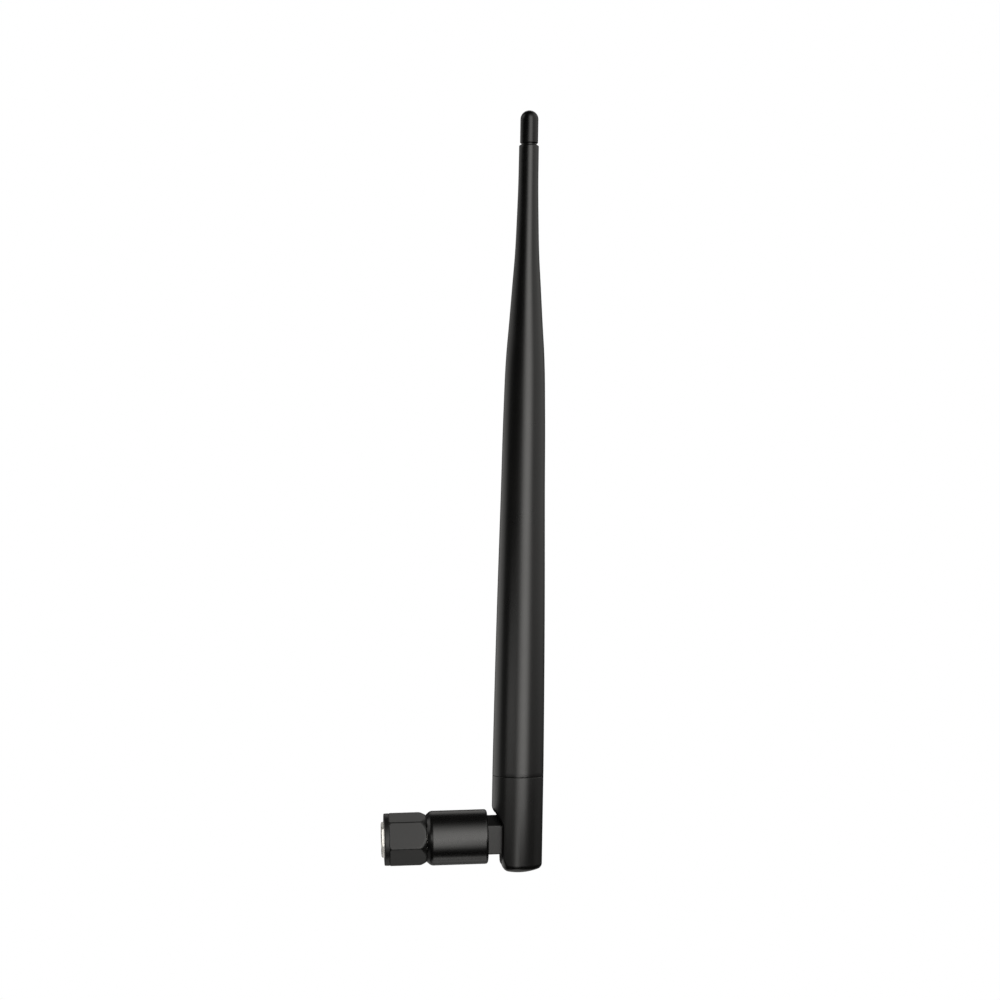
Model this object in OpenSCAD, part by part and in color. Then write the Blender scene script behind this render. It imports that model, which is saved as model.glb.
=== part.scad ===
// Articulated screw-on wireless antenna with a reverse-polarity SMA plug.
// Frame: origin on the plug axis at the thread's inner end, plug mouth towards -X,
// hinge axis along Y, antenna standing along +Z. All sizes in millimetres.

/* [Antenna] */
// Height of the tip above the plug axis
tip_h = 186; // [176:1:210]
// Radius of the fork and of the radome's foot
base_r = 6.55; // [6.5:0.05:6.65]
// Radius of the radome at its slim top end
top_r = 2.5; // [2.4:0.02:2.6]
// Radius of the domed tip cap
cap_r = 2.32; // [2.2:0.01:2.4]
// Length of the tip cap that shows above the radome
cap_len = 8.8; // [7:0.1:12]
// Wall thickness of the radome
radome_wall = 1.15; // [1.05:0.05:1.2]
// Height of the seam between fork and radome
seam_z = 15.4; // [14.5:0.1:17]

/* [Hinge] */
// Distance from the mating plane to the antenna's own axis
axis_x = 31.4; // [31.2:0.1:32]
// Diagonal offset of the hinge from where plug axis and antenna axis cross
hinge_off = 1.4; // [1.3:0.05:1.5]
// Height of the arm's neck above the plug axis
neck_top = 5.45; // [5.2:0.05:5.45]
// Depth of the arm's neck below the plug axis
neck_bot = 4.35; // [4.2:0.05:5.1]
// Bevel along the neck's two upper edges
neck_bevel = 2.5; // [2:0.1:2.6]
// Width of the arm's neck between the ears
neck_w = 6.0; // [5.6:0.1:6.0]
// Side clearance between arm and ears
ear_gap = 0.1; // [0.08:0.01:0.15]
// Radius of the two hinge pins
pin_r = 1.6; // [1.4:0.05:1.7]
// Running clearance of the pins in the ears
pin_clear = 0.05; // [0.03:0.01:0.08]
// Drop of the fork's foot below the plug axis
foot_drop = 9.3; // [9:0.05:9.4]
// Angle by which the hinge stands open from its square, fully folded position
lean = 2.3; // [0:0.1:5]

/* [Swivel barrel] */
// Outer radius of the barrel
barrel_r = 6.95; // [6.8:0.05:7.05]
// Start of the barrel along the plug axis
barrel_x0 = 8.3; // [8.25:0.05:8.4]
// End of the barrel along the plug axis
barrel_x1 = 23.8; // [23.5:0.1:23.9]
// Bore radius of the barrel
barrel_bore = 5.5; // [5.45:0.05:5.6]

/* [Coupling nut] */
// Width of the grip across its flats
grip_af = 11.9; // [11.6:0.1:12]
// Width of the metal nut across its flats
nut_af = 8.0; // [8:0.1:8.4]
// Front face of the grip, measured from the mating plane
grip_x0 = -2.6; // [-2.7:0.05:-2.5]
// Radius of the round collar at the grip's front
collar_r = 6.65; // [6.5:0.05:6.75]
// Stand-out of the metal nut in front of the grip
nut_proud = 0.7; // [0.6:0.05:0.8]
// Back face of the grip
grip_x1 = 8.1; // [7.9:0.05:8.1]
// Radius of the threaded wall, at the thread's minor diameter
thread_r = 2.83; // [2.8:0.01:2.86]
// Angle by which the nut is turned about the plug axis
nut_turn = 15.5; // [0:0.5:59]

/* [Cable] */
// Outer radius of the thin coaxial cable
coax_r = 0.7; // [0.6:0.05:0.75]
// Bend radius of the cable inside the hinge
coax_bend_r = 3.0; // [2.8:0.1:3.2]

/* [Radiator] */
// Radius of the radiator wire
wire_r = 0.5; // [0.4:0.05:0.55]
// Mean radius of the phasing coil
coil_r = 2.4; // [2:0.1:2.6]
// Turns of the phasing coil
coil_turns = 6; // [4:1:7]

/* [Hidden] */
$fn = 96;
e = 0.01;
k = tip_h / 186;
face_x = 0.1;
core_end = 5.4;
hx = axis_x + hinge_off;
hz = -hinge_off;
slot_w = neck_w / 2 + ear_gap;
web_x = 5.3;
ear_x = -4.1;
// where the cable's two straight lines cross, its bend's tangent length, and the bend's two ends
cross_d = hinge_off * (1 - sin(lean)) / cos(lean);
bend_t = coax_bend_r * tan((90 - lean) / 2);
bend_x = hx - cross_d - bend_t;
riser_z = cross_d + bend_t - hinge_off;
cap_z = tip_h - cap_len;
sleeve_z0 = seam_z + 4.6;
sleeve_len = 28;
feed_z = sleeve_z0 + sleeve_len;
wire_z0 = feed_z + 6;
coil_z0 = 92 * k;
coil_len = 16;
wire_z1 = 170 * k;

// ---- helpers ------------------------------------------------------------

// Revolves a [radius, x] outline about the plug axis.
module turned_x(pts) rotate([0, 90, 0]) rotate_extrude() polygon(pts);

// A straight rod of radius r along X between a and b.
module rod_x(r, a, b) translate([a, 0, 0]) rotate([0, 90, 0]) cylinder(r = r, h = b - a);

// A tube along Z, centred on the antenna's axis.
module tube_z(ro, ri, a, b) translate([axis_x, 0, a]) difference() {
  cylinder(r = ro, h = b - a);
  translate([0, 0, -1]) cylinder(r = ri, h = b - a + 2);
}

// Turns the antenna's own pieces about the hinge by its lean.
module leaned() translate([hx, 0, hz]) rotate([0, lean, 0]) translate([-hx, 0, -hz]) children();

// A flat outline in the X-Z plane made w thick, centred on Y = 0.
module plate_y(w) rotate([90, 0, 0]) translate([0, 0, -w / 2]) linear_extrude(w) children();

// A hexagonal prism along X with flats af apart.
module hex_x(af, a, b) translate([a, 0, 0]) rotate([0, 90, 0]) linear_extrude(b - a)
  rotate([0, 0, -nut_turn]) circle(r = af / 2 / cos(30), $fn = 6);

// The neck's section, in Y-Z: broad bevels on top, small ones below.
function neck_section(g = 0) = let (w = neck_w / 2 + g, h = neck_top + g, l = neck_bot + g, c = neck_bevel, d = 0.3) [
  [w, h - c], [w - c, h], [-w + c, h], [-w, h - c], [-w, -l + d], [-w + d, -l], [w - d, -l], [w, -l + d]];

// Runs the neck's section along X between a and b.
module neck_x(a, b, g = 0) translate([a, 0, 0]) rotate([90, 0, 90]) linear_extrude(b - a) polygon(neck_section(g));

// Points of an arc, n steps.
function arc(cx, cy, r, a0, a1, n = 8) = [for (i = [0:n]) let (a = a0 + (a1 - a0) * i / n) [cx + r * cos(a), cy + r * sin(a)]];

// ---- radome outline -------------------------------------------------------

// Height and radius along the radome, from its foot to its slim end.
shape = [[seam_z, base_r], [35 * k, base_r - 0.17], [55 * k, base_r - 0.41], [75 * k, base_r - 0.72], [95 * k, base_r - 1.02],
         [108 * k, base_r - 1.18], [118 * k, base_r - 1.47], [126 * k, base_r - 1.88], [136 * k, (base_r + top_r) / 2 - 0.51],
         [146 * k, top_r + 0.82], [154 * k, top_r + 0.39], [162 * k, top_r + 0.16], [170 * k, top_r + 0.04], [cap_z - 0.2, top_r]];
function rise(p, i) = i == 0 ? (p[1][1] - p[0][1]) / (p[1][0] - p[0][0])
  : i == len(p) - 1 ? (p[i][1] - p[i - 1][1]) / (p[i][0] - p[i - 1][0])
  : (p[i + 1][1] - p[i - 1][1]) / (p[i + 1][0] - p[i - 1][0]);
function blend_r(p, i, t) = let (h = p[i + 1][0] - p[i][0], a = p[i][1], b = p[i + 1][1], m = rise(p, i) * h, n = rise(p, i + 1) * h)
  (2 * t * t * t - 3 * t * t + 1) * a + (t * t * t - 2 * t * t + t) * m + (-2 * t * t * t + 3 * t * t) * b + (t * t * t - t * t) * n;
function outline(p, steps, off) = [for (i = [0:len(p) - 2]) for (s = [0:steps - 1])
  let (t = s / steps) [blend_r(p, i, t) - off, p[i][0] + (p[i + 1][0] - p[i][0]) * t]];
// Radius of the radome's bore at height z, by straight lines between the shape's points.
function bore_at(z, i = 0) = i >= len(shape) - 2 || z < shape[i + 1][0]
  ? shape[i][1] + (shape[i + 1][1] - shape[i][1]) * (z - shape[i][0]) / (shape[i + 1][0] - shape[i][0]) - radome_wall
  : bore_at(z, i + 1);

// ---- plug -----------------------------------------------------------------

// Nickel-plated body of the plug: mating tube, shoulder, snap-ring groove, swivel flange, crimp barrel.
module connector_shell() color("silver") turned_x([
  [2.05, face_x], [2.2, face_x], [2.29, face_x + 0.1], [2.29, 2.95], [2.53, 2.95], [2.53, 3.3], [2.25, 3.3], [2.25, 3.9], [2.53, 3.9], [2.53, 6.4], [3.0, 6.7], [3.0, 10.4],
  [barrel_bore - 0.28, 10.4], [barrel_bore - 0.08, 10.6], [barrel_bore - 0.08, 12.3], [barrel_bore - 0.28, 12.5],
  [1.5, 12.5], [1.5, 13.3], [0.95, 13.5], [0.95, 17.6], [0.47, 17.6], [0.47, 9.4], [1.3, 9.4], [1.3, 6.0], [1.6, 6.0], [1.6, 3.0], [2.05, 3.0]]);

// White insulator, stepped to sit against the shell's shoulders.
module ptfe_insulator() color("white") turned_x([[0.66, face_x], [2.03, face_x], [2.03, 2.98], [1.58, 2.98], [1.58, 5.98], [1.27, 5.98], [1.27, 9.2], [0.66, 9.2]]);

// Gold-plated contact with the socket that takes the jack's pin, and a solder cup behind.
module centre_contact() color("gold") turned_x([
  [0.56, face_x], [0.64, face_x + 0.08], [0.64, 9.0], [0.3, 9.0], [0.3, 7.6], [0, 7.6], [0, 3.3], [0.48, 3.0], [0.48, face_x + 0.06], [0.5, face_x]]);

// Split spring ring that keeps the nut on the shell.
module nut_snap_ring() color("darkgoldenrod") difference() {
  turned_x([[2.3, 3.35], [3.15, 3.35], [3.15, 3.85], [2.3, 3.85]]);
  translate([3, -0.4, 2]) cube([1, 0.8, 2]);
}

// Silicone ring that the jack's end presses against.
module face_gasket() color("tomato") turned_x([[2.29, 2.0], [3.07, 2.0], [3.15, 2.1], [3.15, 2.8], [3.07, 2.9], [2.29, 2.9]]);

// Crimped sleeve over the cable's braid.
module crimp_ferrule() color("silver") turned_x([
  [1.16, 13.7], [1.6, 13.7], [1.7, 13.8], [1.7, 14.4], [1.55, 14.55], [1.55, 17.4], [1.7, 17.55], [1.7, 18.3], [1.6, 18.4],
  [0.72, 18.4], [0.72, 17.9], [1.16, 17.7]]);

// Cable from the contact's solder cup to the hinge: conductor, core under the crimp, braid, jacket.
module coax_lead() color([0.12, 0.12, 0.13]) union() {
  rod_x(0.16, 7.8, 9.6);
  rod_x(0.45, 9.5, 17.7);
  turned_x([[0.97, 13.9], [1.14, 13.9], [1.14, 17.65], [coax_r, 17.9], [coax_r, bend_x], [0, bend_x], [0, 17.7], [0.97, 17.7]]);
}

// ---- coupling nut -----------------------------------------------------------

// Nickel-plated hexagonal nut: thread, relief for the jack's end, gasket and snap ring, rear bearing on the shell.
nut_x0 = grip_x0 - nut_proud;
module nut_core() color("silver") difference() {
  intersection() {
    hex_x(nut_af, nut_x0, core_end);
    turned_x([[0, nut_x0], [nut_af / 2 + 0.2, nut_x0], [nut_af / 2 / cos(30) + 0.02, nut_x0 + 0.26],
              [nut_af / 2 / cos(30) + 0.02, core_end - 0.4], [nut_af / 2, core_end], [0, core_end]]);
  }
  turned_x([[0, nut_x0 - 1], [3.25 + 0.8, nut_x0 - 1], [3.25, nut_x0], [thread_r, nut_x0 + 0.45], [thread_r, 0], [3.25, 0], [3.25, 3.95],
            [2.6, 3.95], [2.6, core_end + 1], [0, core_end + 1]]);
}

// Black moulded grip over the nut: round collar in front, hexagon, chamfer at the back.
module nut_grip() color([0.1, 0.1, 0.11]) difference() {
  union() {
    turned_x([[0, grip_x0], [collar_r - 0.2, grip_x0], [collar_r - 0.04, grip_x0 + 0.2], [collar_r, grip_x0 + 1.1], [collar_r - 0.1, grip_x0 + 1.3], [0, grip_x0 + 1.3]]);
    intersection() {
      hex_x(grip_af, grip_x0 + 0.6, grip_x1);
      turned_x([[0, grip_x0 + 0.6], [collar_r - 0.1, grip_x0 + 0.6], [collar_r - 0.1, grip_x0 + 1.3], [grip_af / 2 / cos(30) + 0.05, grip_x0 + 1.6],
                [grip_af / 2 / cos(30) + 0.05, grip_x1 - 1.55], [grip_af / 2 + 0.05, grip_x1], [0, grip_x1]]);
    }
  }
  hex_x(nut_af + 0.02, grip_x0 - 1, core_end + 0.02);
  rod_x(3.35, core_end - 0.1, grip_x1 + 1);
}

// ---- swivel ---------------------------------------------------------------

// Outer barrel: chamfered nose, plain bore, end wall with the window the neck passes through.
module swivel_barrel() color([0.1, 0.1, 0.11]) difference() {
  turned_x(concat([[0, barrel_x0], [barrel_r - 0.85, barrel_x0], [barrel_r - 0.12, barrel_x0 + 0.95]],
                  arc(barrel_r - 0.4, barrel_x0 + 1.23, 0.4, -35, 0, 3),
                  arc(barrel_r - 0.7, barrel_x1 - 0.7, 0.7, 0, 90, 6),
                  [[0, barrel_x1]]));
  rod_x(barrel_bore, barrel_x0 - 1, barrel_x1 - 1.4);
  neck_x(barrel_x1 - 2, barrel_x1 + 1, 0.04);
}

// Ring pressed into the barrel that holds the plug's flange.
module barrel_retainer() color([0.75, 0.7, 0.5]) turned_x([
  [3.15, 9.45], [barrel_bore - 0.15, 9.45], [barrel_bore, 9.6], [barrel_bore, 10.15], [barrel_bore - 0.1, 10.25], [3.15, 10.25]]);

// Arm: round root in the barrel, neck, eye between the fork's ears.
eye_r = neck_bot + hz;
neck_end = axis_x - 2.9;
cut_a = [axis_x - 4.75, neck_top];
cut_b = [axis_x - 3.6, neck_top - 2.15];
reach = cut_b - [hx, hz];
tan_a = atan2(reach[1], reach[0]) - acos(eye_r / norm(reach));
module hinge_arm() color([0.16, 0.16, 0.17]) difference() {
  union() {
    rod_x(barrel_bore - 0.05, 12.6, barrel_x1 - 1.45);
    intersection() {
      plate_y(neck_w) polygon([[barrel_x1 - 2.4, -neck_bot], [hx, -neck_bot], [hx, hz], [hx + eye_r * cos(tan_a), hz + eye_r * sin(tan_a)], cut_b, cut_a, [barrel_x1 - 2.4, neck_top]]);
      neck_x(barrel_x1 - 2.4, hx + eye_r);
    }
    translate([hx, 0, hz]) rotate([90, 0, 0]) rotate_extrude() polygon([[0, -neck_w / 2], [eye_r - 0.3, -neck_w / 2], [eye_r, -neck_w / 2 + 0.3],
      [eye_r, neck_w / 2 - 0.3], [eye_r - 0.3, neck_w / 2], [0, neck_w / 2]]);
  }
  turned_x([[0, 12], [2.6, 12], [2.6, 13.0], [2.1, 13.4], [2.1, 19.2], [1.0, 20.4], [1.0, neck_end + 1], [0, neck_end + 1]]);
  translate([neck_end - 0.6, -1, -1]) cube([12, 2, 12]);
  translate([hx, 0, hz]) rotate([90, 0, 0]) cylinder(r = pin_r, h = neck_w + 2, center = true);
}

// One stub pin, fixed in the arm and turning in an ear's blind socket.
module stub_pin(s) color("lightsteelblue") translate([hx, 0, hz]) rotate([s * 90, 0, 0]) rotate_extrude()
  polygon([[0, 1.15], [pin_r, 1.15], [pin_r, 4.95], [pin_r - 0.25, 5.2], [0, 5.2]]);
module hinge_pin_left() stub_pin(1);
module hinge_pin_right() stub_pin(-1);

// Cable's quarter bend inside the hinge.
module coax_bend() color([0.12, 0.12, 0.13]) translate([bend_x, 0, coax_bend_r]) rotate([90, 0, 0]) rotate([0, 0, -90])
  rotate_extrude(angle = 90 - lean) translate([coax_bend_r, 0]) circle(r = coax_r, $fn = 48);

// ---- antenna ----------------------------------------------------------------

// Foot of the antenna: domed end, two ears, back web, spigot for the radome.
module hinge_fork() color([0.1, 0.1, 0.11]) leaned() difference() {
  translate([axis_x, 0, 0]) rotate_extrude() polygon(concat(
    [[0, -foot_drop]], [for (i = [1:9]) let (r = (base_r - 0.85) * i / 9) [r, -foot_drop + 20 - sqrt(400 - r * r)]],
    arc(base_r - 0.8, -foot_drop + 1.75, 0.8, -68, 0, 6),
    [[base_r, seam_z - 0.22], [base_r - 0.12, seam_z - 0.06], [base_r - 1.25, seam_z - 0.06], [base_r - 1.25, seam_z + 7.6], [base_r - 1.75, seam_z + 8.1],
     [3.28, seam_z + 8.1], [3.28, sleeve_z0 - 0.1], [1.2, sleeve_z0 - 1.6], [1.2, 0], [0, 0]]));
  // slot that the arm swings in, with cut back corners
  translate([axis_x, 0, -foot_drop - 1]) linear_extrude(foot_drop + 1 + neck_top + 0.5)
    polygon([[-8, -slot_w], [web_x - 1.3, -slot_w], [web_x, -slot_w + 1.3], [web_x, slot_w - 1.3], [web_x - 1.3, slot_w], [-8, slot_w]]);
  translate([axis_x, 0, -1]) cylinder(r = 1.2, h = 12);
  // ears cut back towards the barrel, with a sloping shoulder and a rounded toe
  translate([axis_x, 0, 0]) plate_y(20) polygon([[-10, -20], [ear_x, -20], [ear_x, 3.45], [-base_r - 0.1, 7.0], [-10, 12]]);
  translate([axis_x + ear_x, 0, -foot_drop + 0.25]) plate_y(20) difference() {
    translate([-1, -3]) square([2.8, 4.8]);
    translate([1.8, 1.8]) circle(r = 1.8);
  }
  // blind sockets for the hinge pins
  translate([hx, 0, hz]) rotate([90, 0, 0]) cylinder(r = pin_r + pin_clear, h = 10.6, center = true);
}

// Radome: one slim bottle-shaped tube.
module radome() color([0.1, 0.1, 0.11]) leaned() translate([axis_x, 0, 0]) rotate_extrude() polygon(concat(
  [[base_r - 1.2, seam_z + 0.06], [base_r - 0.12, seam_z + 0.06], [base_r, seam_z + 0.22]],
  [for (p = outline(shape, 5, 0)) if (p[1] > seam_z + 0.5) p],
  [[top_r, cap_z - 0.45], [top_r - 0.3, cap_z - 0.1], [1.22, cap_z - 0.1]],
  [for (z = [170, 160, 150, 142, 134, 126, 118, 108, 95, 75, 55, 35]) [bore_at(z * k), z * k]],
  [[bore_at(26), 26], [base_r - 1.2, 24]]));

// Domed plug in the radome's top, with a stem glued into its bore.
module tip_cap() color([0.06, 0.06, 0.07]) leaned() translate([axis_x, 0, 0]) union() {
  translate([0, 0, tip_h - cap_r]) sphere(r = cap_r);
  rotate_extrude() polygon([[0, cap_z - 5.5], [0.9, cap_z - 5.5], [1.16, cap_z - 5.2], [1.16, cap_z], [cap_r - 0.25, cap_z], [cap_r, cap_z + 0.3],
    [cap_r, tip_h - cap_r], [0, tip_h - cap_r]]);
}

// Cable from the hinge up to the feed.
module coax_riser() color([0.12, 0.12, 0.13]) leaned() translate([axis_x, 0, riser_z]) cylinder(r = coax_r, h = feed_z - riser_z + 0.5);

// Quarter-wave brass sleeve, closed and soldered to the braid at its top.
module choke_sleeve() color("goldenrod") leaned() translate([axis_x, 0, 0]) rotate_extrude()
  polygon([[2.95, sleeve_z0], [3.2, sleeve_z0], [3.2, feed_z - 0.2], [3.0, feed_z], [coax_r + 0.02, feed_z], [coax_r + 0.02, feed_z - 0.4], [2.95, feed_z - 0.4]]);

// Bare core of the cable at the feed gap.
module feed_core() color("ivory") leaned() tube_z(0.45, 0.2, feed_z + 0.5, wire_z0);

// Shrink sleeve over the feed joint.
module feed_heatshrink() color([0.1, 0.1, 0.1]) leaned() translate([axis_x, 0, 0]) rotate_extrude()
  polygon([[coax_r + 0.04, feed_z + 0.05], [1.05, feed_z + 0.05], [1.05, feed_z + 1], [0.95, wire_z0 + 2.6], [wire_r + 0.03, wire_z0 + 2.6], [wire_r + 0.03, feed_z + 0.8],
           [coax_r + 0.04, feed_z + 0.7]]);

// Wire of the radiator: straight, wound into the phasing coil, straight again.
coil_steps = 16;
function coil_pt(i) = let (n = coil_turns * coil_steps, t = i / n, a = 360 * coil_turns * t,
                           f = min(1, min(i, n - i) / 8), g = f * f * (3 - 2 * f))
  [coil_r * g * cos(a), coil_r * g * sin(a), coil_z0 + coil_len * t];
wire_path = concat([[0, 0, wire_z0], [0, 0, coil_z0 - 1]], [for (i = [0:coil_turns * coil_steps]) coil_pt(i)],
                   [[0, 0, coil_z0 + coil_len + 1], [0, 0, wire_z1]]);
function unit(v) = v / norm(v);
function heading(p, i) = unit(p[min(i + 1, len(p) - 1)] - p[max(i - 1, 0)]);
function ring(p, i, r, s) = let (t = heading(p, i), q = unit(cross(t, cross([cos(20), sin(20), 0.02], t))), w = cross(t, q))
  [for (j = [0:s - 1]) p[i] + r * (cos(360 * j / s) * q + sin(360 * j / s) * w)];
function carried(p, s, r, i, q) = i == len(p) ? [] : let (t = heading(p, i), u = unit(q - (q * t) * t), w = cross(t, u))
  concat([[for (j = [0:s - 1]) p[i] + r * (cos(360 * j / s) * u + sin(360 * j / s) * w)]], carried(p, s, r, i + 1, u));
module swept(p, r, s = 8) {
  rings = carried(p, s, r, 0, [1, 0, 0]);
  n = len(p);
  polyhedron([for (g = rings) each g], concat(
    [[for (j = [0:s - 1]) j]], [[for (j = [s - 1:-1:0]) (n - 1) * s + j]],
    [for (i = [0:n - 2]) for (j = [0:s - 1]) [i * s + j, (i + 1) * s + j, (i + 1) * s + (j + 1) % s, i * s + (j + 1) % s]]), convexity = 10);
}
module radiator_wire() color("peru") leaned() translate([axis_x, 0, 0]) swept(wire_path, wire_r);

// Foam discs that centre the wire in the radome.
module spacer(z, h) let (r = bore_at(z + h) - 0.08) tube_z(r, wire_r + 0.04, z, z + h);
module spacer_lower() color("whitesmoke") leaned() spacer(70 * k, 5);
module spacer_upper() color("whitesmoke") leaned() spacer(114 * k, 5);

connector_shell();
ptfe_insulator();
centre_contact();
nut_snap_ring();
face_gasket();
crimp_ferrule();
coax_lead();
nut_core();
nut_grip();
swivel_barrel();
barrel_retainer();
hinge_arm();
hinge_pin_left();
hinge_pin_right();
coax_bend();
hinge_fork();
radome();
tip_cap();
coax_riser();
choke_sleeve();
feed_core();
feed_heatshrink();
radiator_wire();
spacer_lower();
spacer_upper();
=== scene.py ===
import math

import bpy
import numpy as np
from mathutils import Matrix, Vector


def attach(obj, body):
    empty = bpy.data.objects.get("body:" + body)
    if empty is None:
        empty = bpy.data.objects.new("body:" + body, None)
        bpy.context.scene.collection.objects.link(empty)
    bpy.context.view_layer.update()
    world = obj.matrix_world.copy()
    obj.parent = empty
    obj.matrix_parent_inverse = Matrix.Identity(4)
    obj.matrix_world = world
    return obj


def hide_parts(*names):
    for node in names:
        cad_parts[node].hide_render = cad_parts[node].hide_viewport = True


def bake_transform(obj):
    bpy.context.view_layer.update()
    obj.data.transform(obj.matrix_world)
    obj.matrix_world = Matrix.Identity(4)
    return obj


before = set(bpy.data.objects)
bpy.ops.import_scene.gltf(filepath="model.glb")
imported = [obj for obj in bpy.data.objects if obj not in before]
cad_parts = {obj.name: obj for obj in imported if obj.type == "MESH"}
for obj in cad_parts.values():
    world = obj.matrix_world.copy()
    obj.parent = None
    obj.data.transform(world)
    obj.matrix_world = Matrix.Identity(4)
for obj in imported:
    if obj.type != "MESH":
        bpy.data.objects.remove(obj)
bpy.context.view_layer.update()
MM = 0.001

# ------------------------------------------------------------------ camera
TARGET = Vector((29.06, 0.0, 86.1)) * MM
DISTANCE = 0.638
YAW = math.radians(4.3)
ROLL = math.radians(1.28)
cam_data = bpy.data.cameras.new("camera")
cam_data.lens = 89.57
cam_data.sensor_width = 36.0
cam_data.clip_start = 0.01
cam_data.clip_end = 100
cam = bpy.data.objects.new("camera", cam_data)
bpy.context.scene.collection.objects.link(cam)
back = Vector((-math.sin(YAW), -math.cos(YAW), 0.0))
cam.location = TARGET + back * DISTANCE
cam.rotation_mode = "QUATERNION"
q = (-back).to_track_quat("-Z", "Y")
cam.rotation_quaternion = (
    q.to_matrix().to_4x4() @ Matrix.Rotation(-ROLL, 4, "Z")
).to_quaternion()
bpy.context.scene.camera = cam

# ------------------------------------------------------------------ sizes, mm (the same as the CAD's)
AXIS_X = 31.4
HX, HZ = 32.8, -1.4
LEAN = math.radians(2.3)
BASE_R = 6.55
SEAM_Z = 15.4
TIP_H = 186.0
CAP_R = 2.31
CAP_Z = 177.2
FOOT = -9.3
SLOT_W = 3.1
WEB_X = 5.3
EAR_X = -4.1
NECK_W, NECK_TOP, NECK_BOT, BEVEL = 3.0, 5.45, 4.35, 2.5
EYE_R = NECK_BOT + HZ
PIN_R = 1.6
BARREL_R, BX0, BX1, BORE = 6.95, 8.3, 23.8, 5.5
GRIP_AF, GX0, GX1, COLLAR_R = 11.9, -2.6, 8.1, 6.65
NUT_AF, NUT_X0, NUT_END = 8.0, -3.3, 5.4
TURN = math.radians(15.5)
MINOR_R, MAJOR_R, PITCH = 2.83, 3.175, 0.70556
COAX_R, BEND_R = 0.7, 3.0
CROSS = -HZ * (1 - math.sin(LEAN)) / math.cos(LEAN)
BEND_T = BEND_R * math.tan((math.pi / 2 - LEAN) / 2)
BEND_X = HX - CROSS - BEND_T
CL, SL = math.cos(LEAN), math.sin(LEAN)


def leaned(v):
    """Points of the standing antenna's own frame (its axis on Z) to the row frame, mm."""
    v = np.asarray(v, float)
    dx, dz = v[:, 0] + AXIS_X - HX, v[:, 2] - HZ
    return np.stack([HX + dx * CL + dz * SL, v[:, 1], HZ - dx * SL + dz * CL], 1)


def leaned_dir(n):
    n = np.asarray(n, float)
    return np.stack(
        [n[:, 0] * CL + n[:, 2] * SL, n[:, 1], -n[:, 0] * SL + n[:, 2] * CL], 1
    )


# ------------------------------------------------------------------ meshes from implicit shapes
def rmax(a, b, r):
    """Intersection whose outside edge is rounded with radius r."""
    return np.minimum(-r, np.maximum(a, b)) + np.sqrt(
        np.maximum(a + r, 0) ** 2 + np.maximum(b + r, 0) ** 2
    )


def rmin(a, b, r):
    """Union whose inside corner is filled with radius r."""
    return np.maximum(r, np.minimum(a, b)) - np.sqrt(
        np.maximum(r - a, 0) ** 2 + np.maximum(r - b, 0) ** 2
    )


CORNERS = [(i, j, k) for i in (0, 1) for j in (0, 1) for k in (0, 1)]
EDGES = [
    (a, b)
    for a in range(8)
    for b in range(a + 1, 8)
    if sum(abs(p - q) for p, q in zip(CORNERS[a], CORNERS[b])) == 1
]


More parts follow.
